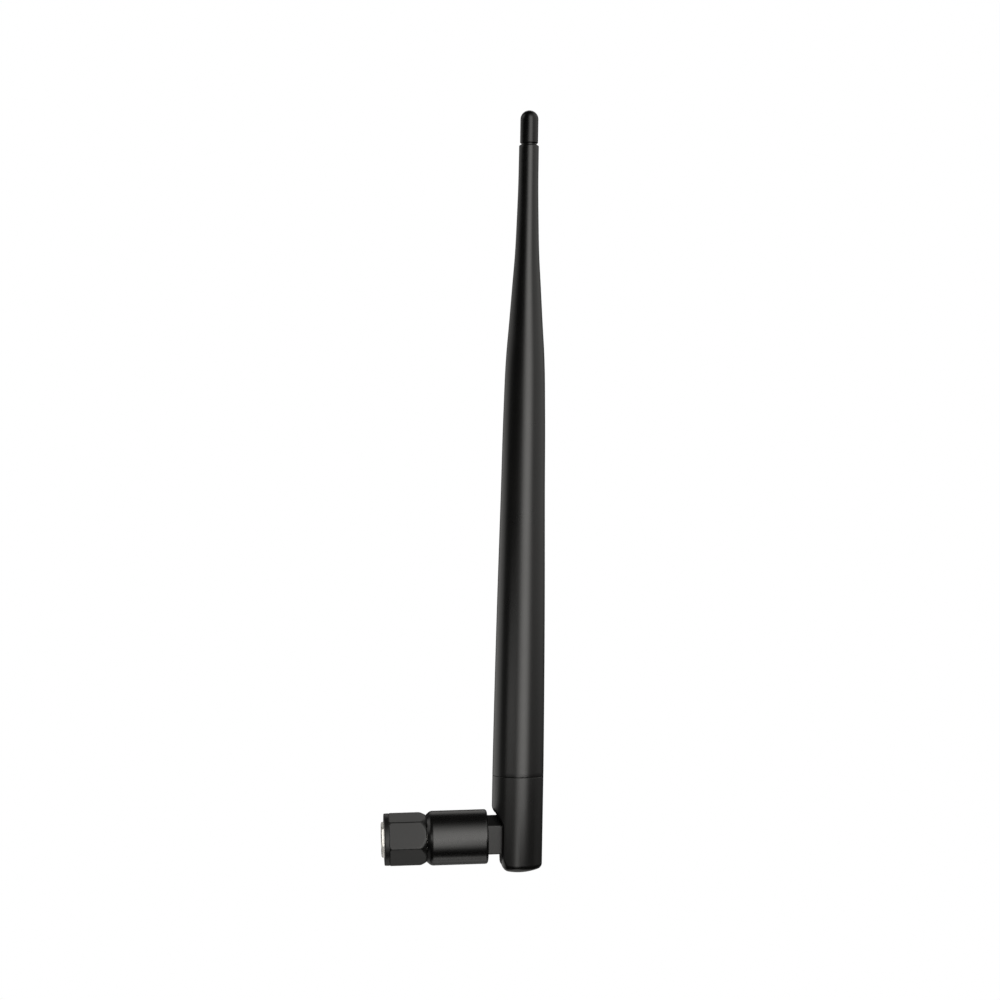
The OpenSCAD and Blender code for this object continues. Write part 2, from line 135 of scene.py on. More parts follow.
def surface(f, lo, hi, h, rounds=5):
    """A closed quad mesh of f = 0 between lo and hi on a grid of h mm, its points moved onto the true surface. Returns points, quads, normals."""
    lo = np.array(lo, float) - 1.37 * h
    n = np.ceil((np.array(hi, float) + 1.5 * h - lo) / h).astype(int) + 1
    ax = [lo[i] + h * np.arange(n[i]) for i in range(3)]
    F = np.empty(n, np.float32)
    step = max(1, int(2e6 // (n[1] * n[2])))
    for s in range(0, n[0], step):
        X, Y, Z = np.meshgrid(ax[0][s : s + step], ax[1], ax[2], indexing="ij")
        F[s : s + step] = f(X, Y, Z)
    inside = F < 0
    m = n - 1
    count = np.zeros(m, np.int8)
    for i, j, k in CORNERS:
        count += inside[i : i + m[0], j : j + m[1], k : k + m[2]]
    active = (count > 0) & (count < 8)
    cells = np.argwhere(active)
    index = np.full(m, -1, np.int64)
    index[active] = np.arange(len(cells))
    values = np.stack(
        [F[cells[:, 0] + i, cells[:, 1] + j, cells[:, 2] + k] for i, j, k in CORNERS], 1
    ).astype(float)
    total = np.zeros((len(cells), 3))
    hits = np.zeros(len(cells))
    for a, b in EDGES:
        va, vb = values[:, a], values[:, b]
        cross = (va < 0) != (vb < 0)
        t = np.where(cross, va / np.where(cross, va - vb, 1), 0)
        p = np.array(CORNERS[a]) + t[:, None] * (
            np.array(CORNERS[b]) - np.array(CORNERS[a])
        )
        total += np.where(cross[:, None], p, 0)
        hits += cross
    points = lo + h * (cells + total / hits[:, None])
    quads = []
    for axis in range(3):
        u, v = (axis + 1) % 3, (axis + 2) % 3
        take = [slice(1, m[i]) for i in range(3)]
        take[axis] = slice(0, m[axis])
        start = np.zeros(3, int)
        start[u] = start[v] = 1
        here = inside[tuple(take)]
        step_ = list(take)
        step_[axis] = slice(1, m[axis] + 1)
        there = inside[tuple(step_)]
        where = np.argwhere(here != there) + start
        flip = here[tuple((where - start).T)]
        eu, ev = np.zeros(3, int), np.zeros(3, int)
        eu[u], ev[v] = 1, 1
        ids = [
            index[tuple(c.T)] for c in (where - eu - ev, where - ev, where, where - eu)
        ]
        loop = np.stack(ids, 1)
        loop[~flip] = loop[~flip][:, ::-1]
        quads.append(loop)
    quads = np.concatenate(quads)

    def grad(p):
        e = 0.004
        g = np.empty_like(p)
        for i in range(3):
            d = np.zeros(3)
            d[i] = e
            a, b = p + d, p - d
            g[:, i] = (f(a[:, 0], a[:, 1], a[:, 2]) - f(b[:, 0], b[:, 1], b[:, 2])) / (
                2 * e
            )
        return g

    for _ in range(rounds):
        g = grad(points)
        v = f(points[:, 0], points[:, 1], points[:, 2])
        move = -(v / np.maximum((g**2).sum(1), 0.05))[:, None] * g
        size = np.linalg.norm(move, axis=1, keepdims=True)
        points += move * np.minimum(1, 0.6 * h / np.maximum(size, 1e-9))
    normals = grad(points)
    normals /= np.maximum(np.linalg.norm(normals, axis=1, keepdims=True), 1e-9)
    return points, quads, normals


def add_mesh(name, points, faces, normals=None, to_row=None, to_dir=None):
    """A mesh object of these points in mm, smooth shaded, with these point normals if given."""
    points = np.asarray(points, float)
    if to_row is not None:
        points = to_row(points)
        if normals is not None:
            normals = to_dir(normals)
    mesh = bpy.data.meshes.new(name)
    faces = np.asarray(faces)
    mesh.vertices.add(len(points))
    mesh.vertices.foreach_set("co", (points * MM).astype(np.float32).ravel())
    k = faces.shape[1]
    mesh.loops.add(faces.size)
    mesh.loops.foreach_set("vertex_index", faces.astype(np.int32).ravel())
    mesh.polygons.add(len(faces))
    mesh.polygons.foreach_set("loop_start", np.arange(0, faces.size, k, dtype=np.int32))
    mesh.update(calc_edges=True)
    mesh.validate()
    mesh.polygons.foreach_set("use_smooth", np.ones(len(mesh.polygons), bool))
    if normals is not None:
        mesh.normals_split_custom_set_from_vertices(
            [tuple(v) for v in np.asarray(normals, float)]
        )
    mesh.update()
    obj = bpy.data.objects.new(name, mesh)
    bpy.context.scene.collection.objects.link(obj)
    return obj


def implicit(name, f, lo, hi, h, to_row=None, to_dir=None):
    p, q_, n = surface(f, lo, hi, h)
    return add_mesh(name, p, q_, n, to_row, to_dir)


def lathe(name, outline, steps=160, to_row=None, axis="z"):
    """A closed solid of revolution from a closed outline of (radius, height) points, mm. Points of radius 0 close it on its axis."""
    out = np.asarray(outline, float)
    ang = np.linspace(0, 2 * math.pi, steps, endpoint=False)
    n = len(out)
    r, z = out[:, 0], out[:, 1]
    x = r[None, :] * np.cos(ang)[:, None]
    y = r[None, :] * np.sin(ang)[:, None]
    zz = np.repeat(z[None, :], steps, 0)
    if axis == "z":
        pts = np.stack([x, y, zz], 2).reshape(-1, 3)
    else:
        pts = np.stack([zz, x, y], 2).reshape(-1, 3)
    faces = []
    for i in range(n):
        j = (i + 1) % n
        if r[i] < 1e-9 and r[j] < 1e-9:
            continue
        a = np.arange(steps)
        b = (a + 1) % steps
        faces.append(np.stack([a * n + i, b * n + i, b * n + j, a * n + j], 1))
    obj = add_mesh(name, pts, np.concatenate(faces), None, to_row, None)
    import bmesh

    bm = bmesh.new()
    bm.from_mesh(obj.data)
    bmesh.ops.remove_doubles(bm, verts=bm.verts, dist=2e-7)
    bmesh.ops.dissolve_degenerate(bm, dist=1e-7, edges=bm.edges)
    bmesh.ops.recalc_face_normals(bm, faces=bm.faces)
    bm.to_mesh(obj.data)
    bm.free()
    obj.data.polygons.foreach_set("use_smooth", np.ones(len(obj.data.polygons), bool))
    return obj


def sharp(obj, degrees=35):
    """Smooth shading that breaks at edges sharper than this."""
    mesh = obj.data
    import bmesh

    bm = bmesh.new()
    bm.from_mesh(mesh)
    limit = math.radians(degrees)
    for e in bm.edges:
        e.smooth = not (
            len(e.link_faces) != 2 or e.calc_face_angle(0) > limit
        )
    bm.to_mesh(mesh)
    bm.free()
    return obj


def rounded(points, radius, steps=5):
    """A closed 2D outline with every corner listed with a radius rounded. points are (a, b, radius or 0)."""
    out = []
    n = len(points)
    for i in range(n):
        p = np.array(points[i][:2], float)
        r = points[i][2] if len(points[i]) > 2 else radius
        if r <= 0:
            out.append(p)
            continue
        a = np.array(points[i - 1][:2], float) - p
        b = np.array(points[(i + 1) % n][:2], float) - p
        la, lb = np.linalg.norm(a), np.linalg.norm(b)
        a, b = a / la, b / lb
        half = math.acos(max(-1, min(1, a @ b))) / 2
        if half > math.radians(88.5):
            out.append(p)
            continue
        t = min(r / math.tan(half), 0.48 * la, 0.48 * lb)
        rr = t * math.tan(half)
        mid = (a + b) / np.linalg.norm(a + b)
        c = p + mid * rr / math.sin(half)
        s, e = p + a * t - c, p + b * t - c
        a0, a1 = math.atan2(s[1], s[0]), math.atan2(e[1], e[0])
        d = (a1 - a0 + math.pi) % (2 * math.pi) - math.pi
        for k in range(steps + 1):
            g = a0 + d * k / steps
            out.append(c + rr * np.array([math.cos(g), math.sin(g)]))
    return out


# ------------------------------------------------------------------ materials
class Nodes:
    """A short way to write a node tree."""

    def __init__(self, tree):
        self.t = tree

    def new(self, kind, inputs=None, **props):
        n = self.t.nodes.new("ShaderNode" + kind)
        for k, v in props.items():
            setattr(n, k, v)
        for k, v in (inputs or {}).items():
            self.put(n.inputs[k], v)
        return n

    def put(self, socket, v):
        if isinstance(v, bpy.types.NodeSocket):
            self.t.links.new(v, socket)
        elif isinstance(v, bpy.types.Node):
            self.t.links.new(v.outputs[0], socket)
        else:
            socket.default_value = v

    def math(self, op, a, b=None, c=None, clamp=False):
        n = self.new("Math", operation=op, use_clamp=clamp)
        for i, v in enumerate((a, b, c)):
            if v is not None:
                self.put(n.inputs[i], v)
        return n.outputs[0]

    def ramp(self, v, lo, hi, a=0.0, b=1.0, kind="SMOOTHSTEP"):
        n = self.new("MapRange", interpolation_type=kind)
        self.put(n.inputs["Value"], v)
        for k, x in (("From Min", lo), ("From Max", hi), ("To Min", a), ("To Max", b)):
            self.put(n.inputs[k], x)
        return n.outputs["Result"]

    def noise(self, vec, scale, detail=2.0, rough=0.5, distortion=0.0):
        return self.new(
            "TexNoise",
            {
                "Vector": vec,
                "Scale": scale,
                "Detail": detail,
                "Roughness": rough,
                "Distortion": distortion,
            },
        ).outputs["Fac"]

    def mix(self, fac, a, b):
        n = self.new("Mix", data_type="RGBA")
        self.put(n.inputs[0], fac)
        self.put(n.inputs[6], a)
        self.put(n.inputs[7], b)
        return n.outputs[2]


def material(name):
    m = bpy.data.materials.new(name)
    m.use_nodes = True
    m.node_tree.nodes.clear()
    n = Nodes(m.node_tree)
    out = n.new("OutputMaterial")
    p = n.new("BsdfPrincipled")
    m.node_tree.links.new(p.outputs[0], out.inputs["Surface"])
    pos = n.new("TexCoord").outputs["Object"]
    return m, n, p, pos


def col(*c):
    return (*c, 1.0)


def black_plastic(name, tone=0.0045, rough=0.3, grain=0.000005, seed=0.0, dust=0.8, gloss=0.5):
    """Moulded satin plastic: spark-eroded grain, slow sheen changes, a trace of dust and rub marks."""
    m, n, p, pos = material(name)
    at = n.new("Mapping", {"Vector": pos, "Location": (seed, seed * 0.7, -seed)}).outputs[0]
    fine = n.noise(at, 8200.0, 3.0, 0.6)
    mid = n.noise(at, 900.0, 2.0, 0.5)
    slow = n.noise(at, 90.0, 2.0, 0.5)
    specks = n.new("TexVoronoi", {"Vector": at, "Scale": 1500.0}, feature="F1").outputs["Distance"]
    speck = n.ramp(specks, 0.05, 0.11, 1.0, 0.0)
    few = n.math("MULTIPLY", speck, n.ramp(n.noise(at, 420.0, 1.0), 0.60, 0.72))
    tint = n.mix(slow, col(tone * 0.86, tone * 0.86, tone * 0.88), col(tone * 1.18, tone * 1.16, tone * 1.13))
    tint = n.mix(n.math("MULTIPLY", few, 0.10 * dust), tint, col(0.23, 0.22, 0.2))
    n.put(p.inputs["Base Color"], tint)
    r = n.math("ADD", rough - 0.055, n.math("MULTIPLY", slow, 0.07))
    r = n.math("ADD", r, n.math("MULTIPLY", mid, 0.04))
    r = n.math("ADD", r, n.math("MULTIPLY", few, 0.25 * dust), clamp=True)
    n.put(p.inputs["Roughness"], r)
    height = n.math("ADD", n.math("MULTIPLY", fine, 0.8), n.math("MULTIPLY", mid, 0.9))
    b = n.new("Bump", {"Strength": 0.3, "Distance": grain, "Height": height})
    n.put(p.inputs["Normal"], b.outputs[0])
    p.inputs["IOR"].default_value = 1.5
    p.inputs["Specular IOR Level"].default_value = gloss
    return m


def turned_metal(name, tone, rough=0.2, marks=0.0000022, stain=(0.45, 0.42, 0.36), seed=0.0):
    """Plated metal turned about the plug's axis: fine rings, slight clouding."""
    m, n, p, pos = material(name)
    s = n.new("SeparateXYZ", {"Vector": pos})
    r = n.math("SQRT", n.math("ADD", n.math("POWER", s.outputs[1], 2.0), n.math("POWER", s.outputs[2], 2.0)))
    ring = n.new("CombineXYZ", {"X": n.math("MULTIPLY", s.outputs[0], 26000.0), "Y": n.math("MULTIPLY", r, 26000.0), "Z": seed})
    lines = n.noise(ring.outputs[0], 1.0, 2.0, 0.6)
    cloud = n.noise(n.new("Mapping", {"Vector": pos, "Location": (seed, 0.0, seed)}).outputs[0], 700.0, 3.0, 0.6)
    n.put(p.inputs["Base Color"], n.mix(n.ramp(cloud, 0.45, 0.8), col(*tone), col(*(a * b ** 0.35 for a, b in zip(tone, stain)))))
    n.put(p.inputs["Roughness"], n.math("ADD", n.math("ADD", rough - 0.05, n.math("MULTIPLY", cloud, 0.12)), n.math("MULTIPLY", lines, 0.05), clamp=True))
    b = n.new("Bump", {"Strength": 0.5, "Distance": marks, "Height": lines})
    n.put(p.inputs["Normal"], b.outputs[0])
    p.inputs["Metallic"].default_value = 1.0
    return m


def soft_solid(name, tone, other, rough, scale, bump, sub=0.0, sub_radius=(0.001, 0.001, 0.001), detail=3.0, cells=False, stretch=(1, 1, 1)):
    """Insulator, rubber, foam or jacket: mottled tone, uneven gloss, small relief."""
    m, n, p, pos = material(name)
    at = n.new("Mapping", {"Vector": pos, "Scale": stretch}).outputs[0]
    a = n.noise(at, scale, detail, 0.55)
    c = n.noise(at, scale * 0.13, 2.0, 0.5)
    n.put(p.inputs["Base Color"], n.mix(n.math("MULTIPLY", n.math("ADD", a, c), 0.5), col(*tone), col(*other)))
    n.put(p.inputs["Roughness"], n.math("ADD", rough - 0.06, n.math("MULTIPLY", c, 0.14), clamp=True))
    h = a
    if cells:
        v = n.new("TexVoronoi", {"Vector": at, "Scale": scale}, feature="F1").outputs["Distance"]
        h = n.math("ADD", n.math("MULTIPLY", v, 1.2), n.math("MULTIPLY", a, 0.4))
    b = n.new("Bump", {"Strength": 0.5, "Distance": bump, "Height": h})
    n.put(p.inputs["Normal"], b.outputs[0])
    if sub:
        p.inputs["Subsurface Weight"].default_value = sub
        p.inputs["Subsurface Radius"].default_value = sub_radius
        p.inputs["Subsurface Scale"].default_value = 1.0
    return m


M = {
    "radome": black_plastic("satin_black_radome", rough=0.29, seed=0.01),
    "fork": black_plastic("satin_black_fork", rough=0.29, seed=0.13, gloss=0.46),
    "cap": black_plastic("black_tip_cap", tone=0.0035, rough=0.26, seed=0.21, gloss=0.35),
    "barrel": black_plastic("satin_black_barrel", tone=0.0045, rough=0.27, grain=0.000003, seed=0.35, gloss=0.58),
    "arm": black_plastic("satin_black_arm", tone=0.009, rough=0.36, seed=0.47, gloss=0.4),
    "grip": black_plastic("satin_black_grip", tone=0.0075, rough=0.37, grain=0.000007, seed=0.59, gloss=0.39),
    "nut": turned_metal("nickel_nut", (0.56, 0.55, 0.525), 0.22, seed=1.3),
    "shell": turned_metal("nickel_shell", (0.80, 0.785, 0.745), 0.18, seed=2.1),
    "ferrule": turned_metal("nickel_ferrule", (0.74, 0.725, 0.69), 0.26, seed=3.7),
    "gold": turned_metal("gold_contact", (0.95, 0.68, 0.30), 0.2, stain=(0.7, 0.5, 0.3), seed=4.4),
    "bronze": turned_metal("spring_bronze", (0.62, 0.42, 0.24), 0.3, stain=(0.5, 0.3, 0.2), seed=5.2),
    "brass": turned_metal("drawn_brass", (0.83, 0.63, 0.31), 0.28, stain=(0.5, 0.36, 0.2), seed=6.6),
    "steel": turned_metal("ground_steel", (0.60, 0.60, 0.61), 0.3, seed=7.9),
    "ptfe": soft_solid("white_ptfe", (0.86, 0.86, 0.83), (0.93, 0.93, 0.91), 0.42, 3800.0, 0.000006, sub=0.25, sub_radius=(0.0008, 0.0008, 0.0007)),
    "silicone": soft_solid("red_silicone", (0.42, 0.07, 0.045), (0.55, 0.11, 0.07), 0.5, 3000.0, 0.000008, sub=0.12, sub_radius=(0.0006, 0.0002, 0.0001)),
    "jacket": soft_solid("coax_jacket", (0.012, 0.012, 0.012), (0.024, 0.023, 0.022), 0.4, 2600.0, 0.00001),
    "shrink": soft_solid("heat_shrink", (0.014, 0.014, 0.015), (0.026, 0.026, 0.026), 0.44, 1400.0, 0.00003, stretch=(1, 1, 0.25)),
    "copper": soft_solid("enamelled_copper", (0.48, 0.15, 0.06), (0.66, 0.25, 0.11), 0.3, 1800.0, 0.000004, stretch=(1, 1, 0.3)),
    "foam": soft_solid("closed_cell_foam", (0.72, 0.72, 0.69), (0.86, 0.86, 0.84), 0.85, 2400.0, 0.00006, cells=True),
}
M["copper"].node_tree.nodes["Principled BSDF"].inputs["Metallic"].default_value = 0.85
M["copper"].node_tree.nodes["Principled BSDF"].inputs["Coat Weight"].default_value = 0.5


def dress(obj, key):
    obj.data.materials.clear()
    obj.data.materials.append(M[key])
    return obj


# ------------------------------------------------------------------ antenna
def smooth(v, a, b):
    t = np.clip((v - a) / (b - a), 0, 1)
    return t * t * (3 - 2 * t)


SHAPE = [
    (15.4, 6.56), (25, 6.5), (35, 6.42), (50, 6.26), (62.6, 6.09), (75, 5.88), (90, 5.63),
    (102, 5.48), (111, 5.3), (118, 5.13), (124, 4.85), (130, 4.41), (136, 4.0), (142, 3.6),
    (148, 3.18), (152, 2.99), (157, 2.83), (162, 2.69), (168, 2.57), (176, 2.53),
]


def spline(table, z):
    """A monotone cubic through the table."""
    a = np.array(table, float)
    x, y = a[:, 0], a[:, 1]
    h = np.diff(x)
    d = np.diff(y) / h
    m = np.empty(len(x))
    m[0], m[-1] = d[0], d[-1]
    for i in range(1, len(x) - 1):
        m[i] = 0 if d[i - 1] * d[i] <= 0 else 3 * (h[i - 1] + h[i]) / (
            (2 * h[i] + h[i - 1]) / d[i - 1] + (h[i] + 2 * h[i - 1]) / d[i]
        )
    z = np.asarray(z, float)
    i = np.clip(np.searchsorted(x, z) - 1, 0, len(x) - 2)
    t = (z - x[i]) / h[i]
    return (
        (2 * t**3 - 3 * t**2 + 1) * y[i]
        + (t**3 - 2 * t**2 + t) * h[i] * m[i]
        + (-2 * t**3 + 3 * t**2) * y[i + 1]
        + (t**3 - t**2) * h[i] * m[i + 1]
    )


zz = np.arange(14.0, 178.5, 0.25)
kernel = np.exp(-0.5 * (np.arange(-12, 13) * 0.25 / 1.1) ** 2)
kernel /= kernel.sum()
rr = spline(SHAPE, np.clip(zz, 15.4, 176))
rr_s = np.convolve(np.pad(rr, 12, mode="edge"), kernel, mode="valid")


def radome_r(z):
    return np.interp(z, zz, rr_s)


outer = rounded([(5.3, SEAM_Z + 0.015, 0), (6.56, SEAM_Z + 0.015, 0.09), (radome_r(SEAM_Z + 1.2), SEAM_Z + 1.2, 0)], 0, 5)
outer += [(radome_r(z), z) for z in np.arange(SEAM_Z + 2, 176.2, 0.8)]
outer += rounded([(radome_r(176.2), 176.25, 0), (2.53, 177.06, 0.36), (1.24, 177.06, 0)], 0, 6)[1:]
outer += [(max(1.22, radome_r(z) - 1.17), z) for z in np.arange(174, 26, -4.0)]
outer += [(5.15, 24.5), (5.18, 23.5), (5.18, SEAM_Z + 0.4)]
radome = dress(sharp(lathe("radome_shell", outer, 200, leaned), 40), "radome")
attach(radome, "antenna")
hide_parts("radome")

cap = [(0, CAP_Z - 5.4)] + rounded([(1.14, CAP_Z - 5.4, 0.2), (1.16, CAP_Z - 0.12, 0), (1.98, CAP_Z - 0.12, 0.05), (2.0, CAP_Z + 0.25, 0.05), (CAP_R, CAP_Z + 0.47, 0.15), (CAP_R, TIP_H - CAP_R - 0.4, 0)], 0, 4)
cap += [(CAP_R * math.cos(a), TIP_H - CAP_R + CAP_R * math.sin(a)) for a in np.linspace(0, math.pi / 2 - 0.001, 22)] + [(0, TIP_H)]
tip = dress(sharp(lathe("tip_cap_dome", cap, 128, leaned), 40), "cap")
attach(tip, "antenna")
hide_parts("tip_cap")


def fork_shape(x, y, z):
    r = np.hypot(x, y)
    ay = np.abs(y)
    dome = np.sqrt(r * r + (z - (FOOT + 14.9)) ** 2) - 15
    f = rmax(r - BASE_R, dome, 0.8)
    f = rmax(f, z - (SEAM_Z - 0.02), 0.08)
    spigot = rmax(r - 5.12, z - (SEAM_Z + 8.0), 0.35)
    f = np.minimum(f, np.maximum(spigot, SEAM_Z - 1.5 - z))
    flat = EAR_X - x
    slope = (x - EAR_X) * -0.8122 + (z - 3.45) * -0.5834
    toe = 0.45 + 1.35 * smooth(-z, 5.0, 7.8)
    f = rmax(f, rmin(flat, slope, 0.35), toe)
    slot = rmax(ay - SLOT_W, x - WEB_X, 0.15)
    slot = rmax(slot, (x - WEB_X + ay - SLOT_W + 0.75) * 0.70711, 0.25)
    slot = rmax(slot, z - (NECK_TOP + 0.5), 0.3)
    f = rmax(f, -slot, 0.2)
    bore = np.minimum(r - 1.2, np.maximum(r - 3.28, SEAM_Z + 4.5 - z))
    f = rmax(f, -bore, 0.12)
    socket = np.maximum(np.hypot(x - (HX - AXIS_X), z - HZ) - (PIN_R + 0.05), ay - 5.3)
    return rmax(f, -socket, 0.08)


fork = implicit("fork_ears", fork_shape, (-6.5, -6.5, FOOT - 0.1), (6.5, 6.5, SEAM_Z + 8.2), 0.15, leaned, leaned_dir)
dress(fork, "fork")
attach(fork, "antenna")
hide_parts("hinge_fork")


# ------------------------------------------------------------------ swivel
def neck_section(y, z, g=0.0, r=0.15):
    ay = np.abs(y)
    s = rmax(ay - NECK_W - g, -NECK_BOT - z - g, 0.3)
    s = rmax(s, z - NECK_TOP - g, r)
    return rmax(s, (ay - NECK_W + BEVEL + z - NECK_TOP) * 0.70711 - g, r)


CUT_A = (AXIS_X - 4.93, NECK_TOP)
CUT_B = (AXIS_X - 3.78, NECK_TOP - 2.15)
_ra = math.atan2(CUT_B[1] - HZ, CUT_B[0] - HX)
TAN_A = _ra - math.acos(EYE_R / math.hypot(CUT_B[0] - HX, CUT_B[1] - HZ))


def arm_shape(x, y, z):
    ay = np.abs(y)
    d1 = ((x - CUT_A[0]) * 2.15 + (z - CUT_A[1]) * 1.15) / math.hypot(2.15, 1.15)
    d2 = (x - CUT_B[0]) * math.cos(TAN_A) + (z - CUT_B[1]) * math.sin(TAN_A)
    prof = rmax(rmin(d1, d2, 0.35), z - NECK_TOP, 0.12)
    prof = rmax(prof, -NECK_BOT - z, 0.2)
    side = np.minimum((x - HX) * math.sin(TAN_A) - (z - HZ) * math.cos(TAN_A), x - HX)
    plate = np.minimum(np.maximum(prof, side), np.hypot(x - HX, z - HZ) - EYE_R)
    plate = np.maximum(plate, BX1 - 2.4 - x)
    f = rmax(plate, neck_section(y, z), 0.16)
    r = np.hypot(y, z)
    root = rmax(rmax(r - BORE + 0.05, 12.6 - x, 0.2), x - (BX1 - 1.45), 0.2)
    f = np.minimum(f, root)
    core = np.minimum(r - 1.0, np.minimum(np.maximum(r - 2.1, x - 19.6), np.maximum(r - 2.6, x - 13.1)))
    core = np.maximum(core, x - 29.4)
    f = rmax(f, -core, 0.1)
    fan = rmax(rmax(ay - 1.0, -1.0 - z, 0.3), 27.9 - x, 0.3)
    f = rmax(f, -fan, 0.15)
    return rmax(f, -(np.hypot(x - HX, z - HZ) - PIN_R), 0.08)


arm = implicit("arm_knuckle", arm_shape, (12.5, -5.5, -5.5), (HX + EYE_R + 0.1, 5.5, 5.5), 0.14)
dress(arm, "arm")
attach(arm, "swivel")
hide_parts("hinge_arm")


def barrel_shape(x, y, z):
    r = np.hypot(y, z)
    cone = ((r - (BARREL_R - 0.85)) * 1.0 - (x - BX0) * 0.85) / 1.3124
    f = rmax(r - BARREL_R, cone, 0.35)
    f = rmax(f, x - BX1, 0.65)
    f = rmax(f, BX0 - 0.12 - x, 0.08)
    f = rmax(f, -np.maximum(r - BORE, x - (BX1 - 1.4)), 0.1)
    return rmax(f, -np.maximum(neck_section(y, z, 0.05), BX1 - 2.2 - x), 0.12)


barrel = implicit("barrel_sleeve", barrel_shape, (BX0 - 0.17, -6.9, -6.9), (BX1 + 0.05, 6.9, 6.9), 0.17)
dress(barrel, "barrel")
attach(barrel, "swivel")
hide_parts("swivel_barrel")


# ------------------------------------------------------------------ coupling nut
def hexagon(y, z, half, r):
    d = [np.abs(-y * math.cos(TURN + k * math.pi / 3) + z * math.sin(TURN + k * math.pi / 3)) - half for k in range(3)]
    return rmax(rmax(d[0], d[1], r), d[2], r)


def grip_shape(x, y, z):
    r = np.hypot(y, z)
    f = hexagon(y, z, GRIP_AF / 2, 0.22)
    f = rmax(f, ((r - GRIP_AF / 2 - 0.05) * 1.55 + (x - GX1) * 0.9) / 1.7923, 0.25)
    f = rmax(f, x - GX1, 0.1)
    f = rmax(f, ((r - COLLAR_R + 0.1) * 0.3 - (x - GX0 - 1.3) * 0.35) / 0.461, 0.15)
    f = np.maximum(f, GX0 + 0.7 - x)
    collar = rmax(r - (COLLAR_R - 0.04 + 0.036 * (x - GX0)), GX0 - x, 0.22)
    collar = rmax(collar, x - GX0 - 1.3, 0.15)
    f = rmin(f, collar, 0.12)
    hole = np.minimum(np.maximum(hexagon(y, z, NUT_AF / 2 + 0.012, 0.05), x - NUT_END - 0.02), r - 3.35)
    return rmax(f, -hole, 0.09)


grip = implicit("grip_hexagon", grip_shape, (GX0 - 0.05, -6.75, -6.75), (GX1 + 0.05, 6.75, 6.75), 0.14)
dress(grip, "grip")
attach(grip, "coupling_nut")
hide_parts("nut_grip")


def nut_shape(x, y, z):
    r = np.hypot(y, z)
    f = hexagon(y, z, NUT_AF / 2, 0.1)
    f = rmax(f, ((r - 4.2) * 0.26 - (x - NUT_X0) * 0.44) / 0.5111, 0.06)
    f = rmax(f, ((r - 4.0) * 0.4 + (x - NUT_END) * 0.64) / 0.7547, 0.08)
    f = rmax(rmax(f, NUT_X0 - x, 0.06), x - NUT_END, 0.06)
    s = x / PITCH - np.arctan2(z, y) / (2 * math.pi)
    s = np.abs(s - np.round(s)) * PITCH
    cut = np.clip((0.243 - s) / 0.199, 0, 1)
    wall = MINOR_R + (MAJOR_R - MINOR_R) * cut * smooth(-x, 0.0, 0.35)
    thread = np.maximum(r - wall, x - 0.15)
    mouth = np.maximum((r - 3.25) + (x - NUT_X0) * 0.9333, x + 2.4)
    relief = np.maximum(r - 3.25, np.maximum(-x, x - 3.95))
    hole = np.minimum(np.minimum(thread, mouth), np.minimum(relief, r - 2.6))
    return rmax(f, -hole, 0.03)


nut = implicit("nut_threaded", nut_shape, (NUT_X0 - 0.05, -4.7, -4.7), (NUT_END + 0.05, 4.7, 4.7), 0.08)
dress(nut, "nut")
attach(nut, "coupling_nut")
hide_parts("nut_core")

# ------------------------------------------------------------------ plug
gasket = lathe("gasket_ring", rounded([(2.30, 2.0, 0.12), (3.14, 2.0, 0.2), (3.14, 2.9, 0.2), (2.30, 2.9, 0.12)], 0, 5), 96, None, "x")
dress(gasket, "silicone")
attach(gasket, "plug")
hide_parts("face_gasket")

shell_line = rounded(
    [(2.05, 0.1, 0.05), (2.29, 0.1, 0.08), (2.29, 2.95, 0.04), (2.53, 2.95, 0.05), (2.53, 3.3, 0.03), (2.25, 3.3, 0.03), (2.25, 3.9, 0.03), (2.53, 3.9, 0.03),
     (2.53, 6.4, 0.1), (3.0, 6.7, 0.1), (3.0, 10.4, 0.08), (5.42, 10.4, 0.2), (5.42, 12.5, 0.2), (1.5, 12.5, 0.1), (1.5, 13.3, 0.05), (0.95, 13.5, 0.05),
     (0.95, 17.6, 0.05), (0.47, 17.6, 0.03), (0.47, 9.4, 0), (1.3, 9.4, 0), (1.3, 6.0, 0), (1.6, 6.0, 0), (1.6, 3.0, 0), (2.05, 3.0, 0)], 0, 4)
shell = sharp(lathe("plug_shell", shell_line, 144, None, "x"), 32)
dress(shell, "shell")
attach(shell, "plug")
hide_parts("connector_shell")


# ------------------------------------------------------------------ cable and wire
def tube(name, path, radius, sides=20, start=(0.0, 1.0, 0.0)):
    """A closed round tube along a path of points, mm, with flat ends."""
    p = np.asarray(path, float)
    t = np.gradient(p, axis=0)
    t /= np.linalg.norm(t, axis=1, keepdims=True)
    u = np.array(start, float)
    rings = []
    for i in range(len(p)):
        u = u - (u @ t[i]) * t[i]
        u /= np.linalg.norm(u)
        w = np.cross(t[i], u)
        a = np.linspace(0, 2 * math.pi, sides, endpoint=False)
        rings.append(p[i] + radius * (np.cos(a)[:, None] * u + np.sin(a)[:, None] * w))
    n = len(p)
    pts = np.concatenate(rings + [p[:1], p[-1:]])
    j = np.arange(sides)
    k = (j + 1) % sides
    quads = np.concatenate([np.stack([i * sides + j, i * sides + k, (i + 1) * sides + k, (i + 1) * sides + j], 1) for i in range(n - 1)])
    mesh = bpy.data.meshes.new(name)
    ends = [(int(b), int(a), n * sides) for a, b in zip(j, k)] + [
        ((n - 1) * sides + int(a), (n - 1) * sides + int(b), n * sides + 1) for a, b in zip(j, k)
    ]
    mesh.from_pydata([tuple(v) for v in pts * MM], [], [tuple(int(i) for i in f) for f in quads] + ends)
    mesh.polygons.foreach_set("use_smooth", np.ones(len(mesh.polygons), bool))
    mesh.update()
    obj = bpy.data.objects.new(name, mesh)
    bpy.context.scene.collection.objects.link(obj)
    return sharp(obj, 50)


